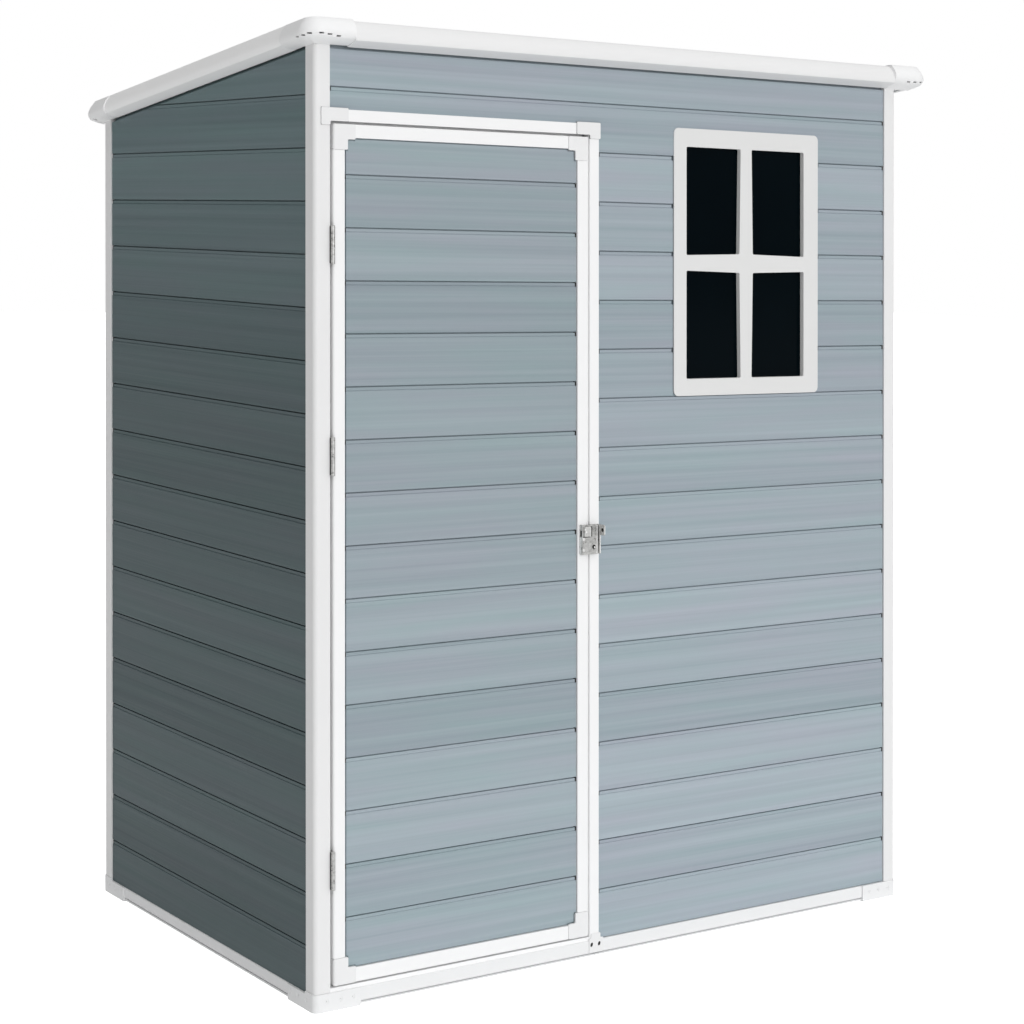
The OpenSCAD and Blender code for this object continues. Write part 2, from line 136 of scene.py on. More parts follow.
def ranged(material, value, low, high, least=0, most=1):
    """Stretches a value that runs from low to high, so that it runs from least to most."""
    return shade(material, "MapRange", dict(enumerate((value, low, high, least, most))))[0]


def mixed(material, amount, start, end):
    """A colour that turns into another as the amount goes from 0 to 1."""
    return shade(material, "MixRGB", {0: amount, 1: (*start, 1), 2: (*end, 1)})[0]


def paint(name):
    """A new material and its surface shader."""
    material = bpy.data.materials.new(name)
    material.use_nodes = True
    return material, material.node_tree.nodes["Principled BSDF"]


def resin(name, white, grain_size, grain_depth, stretch=(1, 1, 1)):
    """Moulded white resin: satin, very faintly mottled, with a fine grain that may be drawn out one way."""
    material, shader = paint(name)
    place = shade(material, "TexCoord")["Object"]
    drawn = shade(material, "Mapping", {"Vector": place, "Scale": stretch})[0]
    clouds = shade(material, "TexNoise", {"Vector": place, "Scale": 9, "Detail": 3})[0]
    fine = {"Vector": drawn, "Scale": 1 / grain_size, "Detail": 4, "Roughness": 0.6}
    grain = shade(material, "TexNoise", fine)[0]
    mottled = [0.965 * c for c in white]
    wire(material, shader, {
        "Base Color": mixed(material, clouds, mottled, white),
        "Roughness": ranged(material, grain, 0.3, 0.7, 0.36, 0.52),
        "Normal": shade(material, "Bump", {"Height": grain, "Strength": 0.5, "Distance": grain_depth})[0],
        "Specular IOR Level": 0.4,
    })
    return material


mostly = 0.9


def faces(piece, test):
    """Opens a piece for editing with only the faces selected that pass the test."""
    pick(piece)
    bpy.ops.object.mode_set(mode="EDIT")
    bpy.ops.mesh.select_mode(type="FACE")
    bpy.ops.mesh.select_all(action="DESELECT")
    bpy.ops.object.mode_set(mode="OBJECT")
    for face in piece.data.polygons:
        face.select = test(face)
    bpy.ops.object.mode_set(mode="EDIT")


def dimple(place, turn, radius=0.005, depth=0.0016, rim=0.0038, deeper=0.002):
    """A shallow round screw dimple with a small deeper hole in its middle, as a cutter."""
    bpy.ops.mesh.primitive_cylinder_add(
        vertices=24, radius=radius, depth=depth, location=place, rotation=turn,
    )
    dish = bpy.context.object
    faces(dish, lambda face: abs(face.normal.z) > mostly)
    bpy.ops.mesh.inset(thickness=rim, use_individual=True)
    bpy.ops.mesh.extrude_region_shrink_fatten(TRANSFORM_OT_shrink_fatten={"value": deeper})
    bpy.ops.object.mode_set(mode="OBJECT")
    return dish


def outer_corner(node, deep, across):
    """A corner piece's outermost x and y, each with the way that leads in from it."""
    low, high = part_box(node)
    x_side = (low.x, 1) if across == "left" else (high.x, -1)
    y_side = (low.y, 1) if deep == "front" else (high.y, -1)
    return *x_side, *y_side


quarter = math.pi / 2
corners = [(deep, across) for deep in ("front", "back") for across in ("left", "right")]
base_resin = resin("base_resin", (0.84, 0.845, 0.85), 0.006, 0.0006)
front_screws, front_level = (0.027, 0.057, 0.085), 0.0205
side_screws, side_level = (0.031, 0.062, 0.089), 0.0195
for deep, across in corners:
    node = f"base_corner_{deep}_{across}"
    foot_block = copied(node)
    soften(foot_block, 0.0016)
    x_face, x_way, y_face, y_way = outer_corner(node, deep, across)
    holes = [dimple((x_face + x_way * step, y_face, front_level), (quarter, 0, 0)) for step in front_screws]
    holes += [dimple((x_face, y_face + y_way * step, side_level), (0, quarter, 0)) for step in side_screws]
    cut(foot_block, *holes)
    finish(foot_block, base_resin, "trim", node)

# ---- Base rails and sill ----
# White resin rails hang between the corner blocks and hold the lowest boards; the sill runs under the door.
# They are extruded with a rounded top edge and a bevelled foot, and share the blocks' embossed grain.
# A thin grey strip under each one paints the shadow at its foot.


def block(low, high):
    """A plain block between two corners, as a cutter or a part of a piece."""
    low, high = Vector(low), Vector(high)
    bpy.ops.mesh.primitive_cube_add(size=1, location=(low + high) / 2)
    bpy.context.object.scale = [abs(side) for side in high - low]
    return bpy.context.object


def screw_hole(across, radius=0.0037, sunk=0, drop=0.0085, depth=0.013, tilt=22):
    """A tilted oval screw hole in the jamb's foot plate, as a cutter; across is from the jamb's left side."""
    jamb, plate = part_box("door_jamb")[0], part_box("frame_brackets")[0]
    rail_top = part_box("base_rail_front")[1].z
    place = (jamb.x + across, plate.y + sunk, rail_top - drop)
    bpy.ops.mesh.primitive_cylinder_add(vertices=20, radius=radius, depth=depth, location=place)
    hole = bpy.context.object
    hole.rotation_euler = (quarter, math.radians(tilt), 0)
    hole.scale = (0.9, 1.25, 1)
    return hole


foot_screws = {"base_sill": 0.004, "base_rail_front": 0.0235}
hair = 0.0001
shadow_strip_x, shadow_strip_y, shadow_strip_drop = 0.0005, 0.0006, 0.0027
painted_shadow_grey = resin("painted_shadow_grey", (0.8, 0.805, 0.81), 0.002, 0.0001)
painted_shade_strips = []
for node in ("base_rail_front", "base_rail_back", "base_rail_left", "base_rail_right", "base_sill"):
    rail = copied(node)
    soften(rail, 0.0022)
    if node in foot_screws:
        cut(rail, screw_hole(foot_screws[node]))
    finish(rail, base_resin, "trim", node)
    low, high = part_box(node)
    # A thin grey strip under the rail: painted shadow where it meets the ground.
    shadow_strip_low = (low.x + shadow_strip_x, low.y + shadow_strip_y, low.z - shadow_strip_drop)
    painted_shade_strips.append(block(shadow_strip_low, (high.x - shadow_strip_x, high.y - shadow_strip_y, low.z - hair)))
finish(joined(*painted_shade_strips, name="base_painted_shade_strips"), painted_shadow_grey, "trim")

# ---- Floor ----
# The floor is a dark grey resin deck inside the base rails, laid as boards with grooves between them.
# It is one extrusion, with its grooves running from side to side and a fine non-slip grain.


def draw(points):
    """Draws an outline from point to point and fills it, ready to be pulled out into a solid."""
    points = [Vector(point) for point in points]
    bpy.ops.object.select_all(action="DESELECT")
    bpy.ops.mesh.primitive_plane_add(size=0.001, location=points[0])
    bpy.ops.object.mode_set(mode="EDIT")
    bpy.ops.mesh.select_mode(type="VERT")
    bpy.ops.mesh.merge(type="CENTER")
    for start, end in zip(points, points[1:]):
        bpy.ops.mesh.extrude_vertices_move(TRANSFORM_OT_translate={"value": end - start})
    bpy.ops.mesh.select_all(action="SELECT")
    bpy.ops.mesh.edge_face_add()


def pull(way, name):
    """Pulls the outline just drawn out into a solid with its faces outwards."""
    bpy.ops.mesh.extrude_region_move(TRANSFORM_OT_translate={"value": Vector(way)})
    bpy.ops.mesh.select_all(action="SELECT")
    bpy.ops.mesh.normals_make_consistent(inside=False)
    bpy.ops.object.mode_set(mode="OBJECT")
    bpy.context.object.name = name
    return bpy.context.object


low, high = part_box("floor_panel")
deck_rows, groove = 8, ((0.004, 0), (0.002, 0.004), (-0.002, 0.004), (-0.004, 0))
deck_step = (high.y - low.y) / deck_rows
outline = [(low.x, low.y, low.z), (low.x, high.y, low.z), (low.x, high.y, high.z)]
for row in range(deck_rows - 1, 0, -1):
    middle = low.y + row * deck_step
    outline += [(low.x, middle + y, high.z - z) for y, z in groove]
draw(outline + [(low.x, low.y, high.z)])
deck = pull((high.x - low.x, 0, 0), "floor_deck")
soften(deck, 0.001, 2)
floor_resin = resin("floor_resin", (0.12, 0.125, 0.13), 0.004, 0.0008, (0.3, 1, 1))
finish(deck, floor_resin, "floor", "floor_panel")

# ---- Corner posts ----
# Hollow white extrusions with a well rounded outer edge stand on the base blocks and grip the wall boards.
# They are cut off at the roof's slope, and are smooth but for faint lengthwise drawing lines.

post_resin = resin("post_resin", (0.82, 0.82, 0.822), 0.004, 0.0001, (1, 1, 0.02))
for deep, across in corners:
    node = f"post_{deep}_{across}"
    post = copied(node)
    soften(post, 0.0008, 2, 50)
    finish(post, post_resin, "trim", node)

# ---- Wall boards ----
# Each wall is a stack of grey-blue resin boards 102 mm tall that lock into each other with a sunk ledge.
# Their ends stop just short of the posts and the jamb, and the roof's slope cuts the top ones.
# Small black blocks paint the shade in the notches at the ends of the joints.

pitch, ledge, wall_thick = 0.10187, 0.0086, 0.02
past = 0.001
upwards = Vector((0, 0, 1))
slot_wide, slot_deep, notch_wide = 0.0015, 0.004, 0.0045
shade_fill_wide, shade_fill_face, shade_fill_back, shade_fill_foot, shade_fill_top = 0.0043, 0.0018, 0.012, 0.0085, 0.0003


def board_section(thick):
    """A board's outline as distance in from its face and height, with a ledge and a gap at its top."""
    gap, backing, corner = pitch - 0.0014, 0.006, 0.001
    return (
        (0, 0.0018), (0, pitch - ledge), (0.0016, pitch - 0.0076), (0.001, pitch - 0.007), (0.001, gap),
        (backing, gap), (backing, pitch - hair), (thick - corner, pitch - hair), (thick, pitch - corner),
        (thick, corner), (thick - corner, 0), (backing, 0), (backing, 0.0012), (0.0006, 0.0012),
    )


def boards(name, corner, along, inward, thick, count):
    """A stack of notched boards, repeated upwards, and the black blocks that paint the shade in the notches at
    their ends.
    """
    corner, along, inward = Vector(corner), Vector(along), Vector(inward)
    draw([corner + inward * deep + upwards * tall for deep, tall in board_section(thick)])
    board = pull(along, name)
    cutters, painted_shades = [], []
    for end, way in ((corner, along.normalized()), (corner + along, -along.normalized())):
        outside = end - way * past - inward * past
        slot_end = end + way * slot_wide + inward * slot_deep + upwards * (pitch + past)
        notch_end = end + way * notch_wide + inward * (thick + past) + upwards * (pitch + past)
        cutters.append(block(outside - upwards * past, slot_end))
        cutters.append(block(outside + upwards * (pitch - ledge), notch_end))
        # A black block inside each end notch: painted shade.
        shade_fill_start = end + way * hair + inward * shade_fill_face + upwards * (pitch - shade_fill_foot)
        shade_fill_end = end + way * shade_fill_wide + inward * shade_fill_back + upwards * (pitch - shade_fill_top)
        painted_shades.append(block(shade_fill_start, shade_fill_end))
    for cutter in cutters:
        cut(board, cutter)
    painted_shades = joined(*painted_shades, name=name + "_plugs")
    bpy.ops.object.transform_apply(location=True, rotation=True, scale=True)
    for piece in (board, painted_shades):
        modify(
            piece, "ARRAY", count=count, use_relative_offset=False, use_constant_offset=True,
            constant_offset_displace=upwards * pitch,
        )
    return board, painted_shades


def trim(piece, place, outward):
    """Saws off all of a piece that lies beyond a plane."""
    pick(piece)
    bpy.ops.object.mode_set(mode="EDIT")
    bpy.ops.mesh.select_all(action="SELECT")
    bpy.ops.mesh.bisect(plane_co=place, plane_no=outward, use_fill=True, clear_outer=True)
    bpy.ops.object.mode_set(mode="OBJECT")


def maths(material, operation, *values):
    """One step of arithmetic on numbers and other nodes' outputs."""
    return shade(material, "Math", dict(enumerate(values)), operation=operation)[0]


def streaks(material, place, stretch, detail, roughness=0.5):
    """Noise drawn out along the axes; a small stretch gives a long streak."""
    drawn = shade(material, "Mapping", {"Vector": place, "Scale": stretch})[0]
    noise = {"Vector": drawn, "Scale": 1, "Detail": detail, "Roughness": roughness}
    return shade(material, "TexNoise", noise)[0]


def board_resin(name, pale, deep, along, seam, across=2, painted_light_factor=1, painted_light_heights=(1.1, 1.8)):
    """Board resin: streaks drawn out along the board, cool and warm clouds, and its own tone on each board.

    The boards run along one axis and are stacked across another from their lowest seam. Their colour is scaled
    by a factor between two heights: painted light and shade that changes with height.
    """
    material, shader = paint(name)
    axes = shade(material, "SeparateXYZ", {0: shade(material, "TexCoord")["Object"]})
    length, height = axes[along], axes[across]
    row = maths(material, "DIVIDE", maths(material, "SUBTRACT", height, seam), pitch)
    luck = shade(material, "TexWhiteNoise", {"W": maths(material, "FLOOR", row)}, noise_dimensions="1D")[0]
    moved = maths(material, "ADD", length, maths(material, "MULTIPLY", luck, 17))
    place = shade(material, "CombineXYZ", {0: moved, 2: height})[0]
    broad = streaks(material, place, (0.5, 1, 62), 2.5, 0.55)
    fine = streaks(material, place, (1.6, 1, 330), 4, 0.6)
    cloud = streaks(material, place, (2.2, 1, 24), 2)
    tone = 0.08
    for part, share in ((broad, 0.62), (fine, 0.22), (luck, 0.22)):
        tone = maths(material, "MULTIPLY_ADD", part, share, tone)
    colour = mixed(material, ranged(material, tone, 0.35, 0.8), deep, pale)
    tint = shade(material, "ValToRGB", {0: cloud})[0]
    cool, warm = tint.node.color_ramp.elements
    cool.position, cool.color = 0.3, (0.94, 1.03, 1.0, 1)
    warm.position, warm.color = 0.7, (1.03, 0.985, 1.02, 1)
    colour = shade(material, "MixRGB", {0: 0.9, 1: colour, 2: tint}, blend_type="MULTIPLY")[0]
    # Colour scaled between two heights: painted light and shade.
    painted_light_by_height = ranged(material, height, *painted_light_heights, 1, painted_light_factor)
    relief = maths(material, "MULTIPLY_ADD", broad, 0.5, fine)
    wire(material, shader, {
        "Base Color": shade(material, "VectorMath", {0: colour, "Scale": painted_light_by_height}, operation="SCALE")[0],
        "Roughness": ranged(material, fine, 0.3, 0.7, 0.42, 0.6),
        "Normal": shade(material, "Bump", {"Height": relief, "Strength": 0.35, "Distance": 0.0008})[0],
        "Specular IOR Level": 0.35,
    })
    return material


# Near-black resin for the blocks that paint shade into notches, gaps and holes.
painted_shade_black = resin("painted_shade_black", (0.012, 0.013, 0.013), 0.002, 0.0001)
roof_slope = 126 / 932
roof_place = Vector((0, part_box("post_front_left")[0].y + 0.003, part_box("roof_cap_front_left")[1].z - 0.035))
roof_under = (roof_place - Vector((0, 0, 0.012)), Vector((0, roof_slope, 1)).normalized())
front_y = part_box("door_panel")[0].y
base_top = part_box("base_rail_front")[1].z
margin = 0.01
before, behind = front_y - margin, front_y + 0.03

# The front wall's lower stack, from the jamb to the right post, with the window's opening.
front_rows, window_rows = 16, range(12, 17)
low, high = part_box("wall_front_middle")[0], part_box("wall_front_right")[1]
sill_low, sill_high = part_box("wall_under_window")
hole_low = Vector((sill_low.x, before, sill_high.z))
hole_high = Vector((sill_high.x, behind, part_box("wall_front_top")[0].z))
sash_low, sash_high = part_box("window_frame")
front_wall, painted_shades = boards(
    "wall_front_boards", (low.x, front_y, base_top), (high.x - low.x, 0, 0), (0, 1, 0),
    wall_thick, front_rows,
)
finish(painted_shades, painted_shade_black, "siding_front")
cut(front_wall, block(hole_low, hole_high))
rim_low, rim_high = sash_low - Vector((0.0013, 0, 0.0015)), sash_high - Vector((0.004, 0, 0.004))
cut(front_wall, block((rim_low.x, before, rim_low.z), (rim_high.x, front_y + 0.0025, rim_high.z)))
for row in window_rows:
    seam = base_top + row * pitch
    for side in (sash_low.x, sash_high.x):
        notch_end = (side + 0.005, front_y + 0.006, seam + past)
        cut(front_wall, block((side - 0.005, before, seam - ledge), notch_end))
# The front boards grow darker towards the top: painted light that is brighter low down.
front_resin = board_resin(
    "front_board_resin", (0.412, 0.465, 0.512), (0.289, 0.345, 0.383), 0, base_top,
    painted_light_factor=0.91, painted_light_heights=(0.2, 1.1),
)
front_nodes = ("wall_front_middle", "wall_front_right", "wall_under_window")
finish(front_wall, front_resin, "siding_front", *front_nodes, angle=20)

# Its upper boards run right across over the door, down to the jamb's side of the header.
low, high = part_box("wall_front_top")
header_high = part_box("door_header")[1]
top_z = base_top + front_rows * pitch
top_boards, painted_shades = boards(
    "wall_front_top_boards", (low.x, front_y, top_z), (high.x - low.x, 0, 0), (0, 1, 0), wall_thick, 3,
)
for piece in (top_boards, painted_shades):
    trim(piece, *roof_under)
finish(painted_shades, painted_shade_black, "siding_front")
cut(top_boards, block(hole_low, hole_high))
header_room = (low.x - margin, before, top_z - margin), (header_high.x, behind, header_high.z)
edging_gap = (low.x - margin, before, roof_place.z - 0.0222), (high.x + margin, front_y + 0.009, roof_place.z)
header_groove_end = (header_high.x + 0.0015, front_y + 0.004, header_high.z)
header_groove = (header_high.x - past, before, top_z - margin), header_groove_end
for room in (header_room, edging_gap, header_groove):
    cut(top_boards, block(*room))
finish(top_boards, front_resin, "siding_front", "wall_front_top", angle=20)

# The side walls stand 5 mm lower on their rails, and their seams fall a little lower than the front's.
# A slot under the edging leaves a dark line there.
side_seam = base_top - 0.0163
# Their boards take a much darker copy of the front's colour, painted shade for walls turned from the light, and
# grow lighter towards the top, painted light.
shaded_side_resin = board_resin(
    "shaded_side_board_resin", (0.096, 0.13, 0.137), (0.06, 0.087, 0.093), 1, side_seam, painted_light_factor=1.75,
)
eave_deep, eave_tall, eave_drop, eave_over = 0.009, 0.02, 0.0097, 0.1
for across, inward in (("left", 1), ("right", -1)):
    node = "wall_" + across
    low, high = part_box(node)
    face = low.x if across == "left" else high.x
    side_wall, painted_shades = boards(
        node + "_boards", (face, low.y, side_seam), (0, high.y - low.y, 0), (inward, 0, 0), wall_thick, 19,
    )
    trim(side_wall, (0, 0, low.z), (0, 0, -1))
    for piece in (side_wall, painted_shades):
        trim(piece, *roof_under)
    finish(painted_shades, painted_shade_black, "siding_side")
    eave_end = (face + inward * eave_deep, high.y + eave_over, eave_tall)
    eave_slot = block((face - inward * margin, low.y - eave_over, 0), eave_end)
    eave_slot.rotation_euler.x = -math.atan(roof_slope)
    eave_slot.location.z = roof_place.z + roof_slope * roof_place.y - eave_drop
    cut(side_wall, eave_slot)
    finish(side_wall, shaded_side_resin, "siding_side", node, angle=20)

# The back wall repeats the front's boards in the side walls' darker colour, painted shade as on the side walls.
low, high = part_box("wall_back")
back_wall, painted_shades = boards(
    "wall_back_boards", (low.x, high.y, low.z), (high.x - low.x, 0, 0), (0, -1, 0), wall_thick, 17,
)
for piece in (back_wall, painted_shades):
    trim(piece, *roof_under)
finish(painted_shades, painted_shade_black, "siding_side")
# A darker copy of the board colour that grows lighter towards the top: painted shade and painted light.
shaded_back_resin = board_resin(
    "shaded_back_board_resin", (0.096, 0.132, 0.141), (0.06, 0.089, 0.096), 0, base_top, painted_light_factor=1.6,
)
finish(back_wall, shaded_back_resin, "siding_side", "wall_back", angle=20)

# ---- Door opening ----
# A white header bar and an upright jamb frame the doorway beside the left post, which carries the hinges.
# Thin bracket plates tie their ends together, and the foot plate is screwed to the base rail under the jamb.


def edges(piece, test):
    """Opens a piece for editing with only the edges selected whose middle and direction pass the test."""
    pick(piece)
    bpy.ops.object.mode_set(mode="EDIT")
    bpy.ops.mesh.select_mode(type="EDGE")
    bpy.ops.mesh.select_all(action="DESELECT")
    bpy.ops.object.mode_set(mode="OBJECT")
    points = [vertex.co for vertex in piece.data.vertices]
    for edge in piece.data.edges:
        start, end = (points[i] for i in edge.vertices)
        edge.select = test((start + end) / 2, (end - start).normalized())
    bpy.ops.object.mode_set(mode="EDIT")


def round_edges(piece, width, test):
    """Rounds only the edges whose middle and direction pass the test."""
    edges(piece, test)
    bpy.ops.mesh.bevel(offset=width, segments=4, affect="EDGES")
    bpy.ops.object.mode_set(mode="OBJECT")


def round_left_edge(piece, width, left):
    """Rounds an upright piece's front edge at its left side."""
    round_edges(
        piece, width,
        lambda middle, way: abs(way.z) > mostly and middle.x < left and middle.y < front_y,
    )


way_low, way_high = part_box("post_front_left")[1].x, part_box("door_jamb")[0].x
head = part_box("door_header")[0].z
frame_resin = resin("frame_resin", (0.915, 0.917, 0.92), 0.004, 0.00008, (1, 1, 0.03))
for node in ("door_header", "door_jamb"):
    bar = copied(node)
    if node == "door_jamb":
        round_left_edge(bar, 0.002, way_high + 0.0005)
    soften(bar, 0.001, 2)
    finish(bar, frame_resin, "trim", node)

# White stop strips inside the doorway close the gaps round the leaf from behind, and two thin strips fill
# the gaps under it and on its latch side.
stop_face, stop_back, leaf_back = front_y + 0.0205, front_y + 0.0235, front_y + 0.0204
stop_wide, stop_tall = 0.0105, 0.022
stops = [
    block((side, stop_face, base_top), (side + way * stop_wide, stop_back, head))
    for side, way in ((way_low, 1), (way_high, -1))
]
clear = stop_wide + hair
for z in (base_top - past, head - 0.011):
    stops.append(block((way_low + clear, stop_face, z), (way_high - clear, stop_back, z + stop_tall)))
for strip_low, strip_high in (
    ((way_low + hair, front_y - past, base_top - past), (way_high - hair, leaf_back, base_top + 0.0075)),
    ((way_high - 0.0036, front_y + 0.0024, base_top + 0.0135), (way_high - 0.0002, leaf_back, head - 0.0045)),
):
    stops.append(block(strip_low, strip_high))
stop_resin = resin("stop_resin", (0.97, 0.972, 0.975), 0.004, 0.00008)
finish(joined(*stops, name="door_stops"), stop_resin, "trim")

brackets = copied("frame_brackets")
round_edges(brackets, 0.0025, lambda middle, way: abs(way.y) > mostly)
soften(brackets, 0.0005, 2)
cut(brackets, *(screw_hole(across) for across in foot_screws.values()))
bracket_resin = resin("bracket_resin", (0.83, 0.832, 0.835), 0.003, 0.0002)
finish(brackets, bracket_resin, "trim", "frame_brackets")

# A thin grey outline round the two plates at the header paints the shadow at their edges, and dark blocks paint
# the shade in the screw holes.
# A grey copy of the plates, fattened and set back: a painted shadow line round their edges.
shadow_outline = copied("frame_brackets")
shadow_outline.name = "bracket_shadow_outline"
faces(shadow_outline, lambda face: True)
shadow_outline_wide, shadow_outline_sunk = 0.0006, (0, 0.0014, 0)
bpy.ops.transform.shrink_fatten(value=shadow_outline_wide)
bpy.ops.transform.translate(value=shadow_outline_sunk)
bpy.ops.object.mode_set(mode="OBJECT")
low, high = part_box("frame_brackets")
cut(shadow_outline, block(low - Vector((margin, margin, margin)), (high.x + margin, high.y + margin, head / 2)))
shadow_outline_resin = resin("shadow_outline_resin", (0.3, 0.305, 0.31), 0.002, 0.0001)
finish(shadow_outline, shadow_outline_resin, "trim")
# Black blocks sunk in the screw holes: painted shade.
hole_shade_fills = (screw_hole(across, radius=0.0042, sunk=0.0075) for across in foot_screws.values())
finish(joined(*hole_shade_fills, name="foot_plate_painted_shades"), painted_shade_black, "trim")

# ---- Window ----
# A fixed window of four panes: one white moulding whose bars widen towards their crossing, and behind it
# one sheet of dark tinted plastic. The moulding's thin rim laps over the boards, and the window doesn't open.


def shifted(piece, way, test):
    """Moves only the corners of a piece that pass the test."""
    pick(piece)
    bpy.ops.object.mode_set(mode="EDIT")
    bpy.ops.mesh.select_mode(type="VERT")
    bpy.ops.mesh.select_all(action="DESELECT")
    bpy.ops.object.mode_set(mode="OBJECT")
    for vertex in piece.data.vertices:
        vertex.select = test(vertex.co)
    bpy.ops.object.mode_set(mode="EDIT")
    bpy.ops.transform.translate(value=way)
    bpy.ops.object.mode_set(mode="OBJECT")


# The panes are shifted to the left and the left ones widened; the upright bar gets slimmer, the level bar
# sits lower, and the lower panes reach further down. A rebate then takes the back off the bars.
sash = copied("window_frame")
inside = Vector((0.03, 0, 0.03))
pane_low, pane_high = sash_low + inside, sash_high - inside
middle_x, middle_z = (sash_low.x + sash_high.x) / 2, (sash_low.z + sash_high.z) / 2
for way, x_from, x_to, z_from, z_to in (
    ((-0.0033, 0, 0), pane_low.x, pane_high.x, pane_low.z, pane_high.z),
    ((-0.0017, 0, 0), pane_low.x, middle_x - 0.05, pane_low.z, pane_high.z),
    ((-0.002, 0, 0), middle_x, middle_x + 0.03, pane_low.z, pane_high.z),
    ((0, 0, -0.0015), pane_low.x, pane_high.x, middle_z - 0.03, middle_z + 0.03),
    ((0, 0, -0.003), pane_low.x, pane_high.x, pane_low.z, pane_low.z + 0.02),
):
    shifted(sash, way, lambda point: x_from < point.x < x_to and z_from < point.z < z_to)
round_edges(
    sash, 0.0035,
    lambda middle, way: abs(way.y) > mostly and middle.y < front_y + 0.006
    and pane_low.x < middle.x < pane_high.x and pane_low.z < middle.z < pane_high.z,
)
soften(sash, 0.001, 2, 40)
rebate_low = (sash_low.x + 0.0345, front_y + 0.0026, sash_low.z + 0.0365)
cut(sash, block(rebate_low, (sash_high.x - 0.0428, front_y + 0.0086, sash_high.z - 0.0396)))
sash_resin = resin("sash_resin", (0.75, 0.752, 0.748), 0.003, 0.0002)
finish(sash, sash_resin, "trim", "window_frame")

sheet = copied("window_glass")
soften(sheet, 0.0006, 2)
sheet_tint, shader = paint("window_sheet")
place = shade(sheet_tint, "TexCoord")["Object"]
haze = shade(sheet_tint, "TexNoise", {"Vector": place, "Scale": 5, "Detail": 2})[0]
wire(sheet_tint, shader, {
    "Base Color": mixed(sheet_tint, haze, (0.0001, 0.0016, 0.0028), (0.0006, 0.0032, 0.005)),
    "Roughness": ranged(sheet_tint, haze, 0.3, 0.7, 0.06, 0.14),
    "Specular IOR Level": 0.04,
})
finish(sheet, sheet_tint, "window_sheet", "window_glass")

# ---- Roof ----
# A single-pitch roof of boards laid from front to back, edged all round by a rounded white extrusion.
# Four moulded caps with vent slots cover the edging's corners; the roof reaches further out at the right.

low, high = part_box("roof_panel")
roof_thick, roof_rows = 0.024, 16
roof_step = (high.x - low.x) / roof_rows
roof_fall = (0, high.y - low.y, -roof_slope * (high.y - low.y))
roof_joint = (
    (0.0012, 0), (0.0012, 0.005), (-0.0012, 0.005), (-0.0012, 0.0012), (-0.007, 0.0012), (-0.0078, 0),
)
outline = [(low.x, low.y, high.z), (low.x, low.y, high.z - roof_thick)]
outline += [(high.x, low.y, high.z - roof_thick), (high.x, low.y, high.z)]
for row in range(roof_rows - 1, 0, -1):
    seam = low.x + row * roof_step
    outline += [(seam + x, low.y, high.z - z) for x, z in roof_joint]
draw(outline)
roof_boards = pull(roof_fall, "roof_boards")
roof_resin = board_resin("roof_board_resin", (0.383, 0.438, 0.478), (0.268, 0.324, 0.358), 1, low.x, across=0)
finish(roof_boards, roof_resin, "siding_front", "roof_panel", angle=20)


def reach(point):
    """How far out of the roof's sides a point lies, and how high over the plane of the roof's underside."""
    low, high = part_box("roof_panel")
    out = math.hypot(max(low.x - point.x, point.x - high.x, 0), max(low.y - point.y, point.y - high.y, 0))
    return out, point.z - roof_place.z + roof_slope * (point.y - roof_place.y)


# The edging's outline from its top to its foot, as distance out from the roof's side and height.
nose = (
    (0.0223, 0.0228), (0.031, 0.0077), (0.0349, -0.0009), (0.036, -0.0065),
    (0.0349, -0.0108), (0.031, -0.014), (0.0198, -0.0166),
)


def fuller(piece, rises, stretch=1, top=0, foot=0):
    """Lifts the corners of the edging's outline, so that its nose sits higher and its top is rounder."""
    for (out, tall), rise in zip(nose, rises):
        place = (out * stretch, tall + (top if tall > 0 else foot))
        shifted(piece, (0, 0, rise), lambda point: math.dist(reach(point), place) < 0.0015)


side_rises = (0.006, 0.0088, 0.01, 0.008, 0.0063, 0.0038, 0.0018)
front_rises = (0.002, 0.0045, 0.003, 0, 0, 0.0015, 0.002)
cap_rises = (0.0057, 0.0083, 0.0122, 0.012, 0.0105, 0.0075, 0.005)
edge_resin = resin("edge_resin", (0.835, 0.835, 0.837), 0.004, 0.0001)
# The side edgings take a whiter copy of the edging's resin: painted light on the sides.
painted_light_side_edge_resin = resin("painted_light_side_edge_resin", (0.995, 0.995, 0.995), 0.004, 0.0001)
for side, rises, lift, material in (
    ("front", front_rises, 0, edge_resin), ("back", front_rises, 0, edge_resin),
    ("left", side_rises, 0.003, painted_light_side_edge_resin), ("right", side_rises, 0.003, painted_light_side_edge_resin),
):
    node = "roof_edge_" + side
    edging = copied(node)
    fuller(edging, rises)
    shifted(edging, (0, 0, lift), lambda point: True)
    finish(edging, material, "trim", node, angle=30)


def lift_lip(cap, rise, axis, lip, near=0.0006, foot=-0.021, top=-0.018):
    """Lifts a cap's inner lower edge where it lies at the lip along an axis."""
    shifted(cap, (0, 0, rise), lambda point: abs(point[axis] - lip) < near and foot < reach(point)[1] < top)


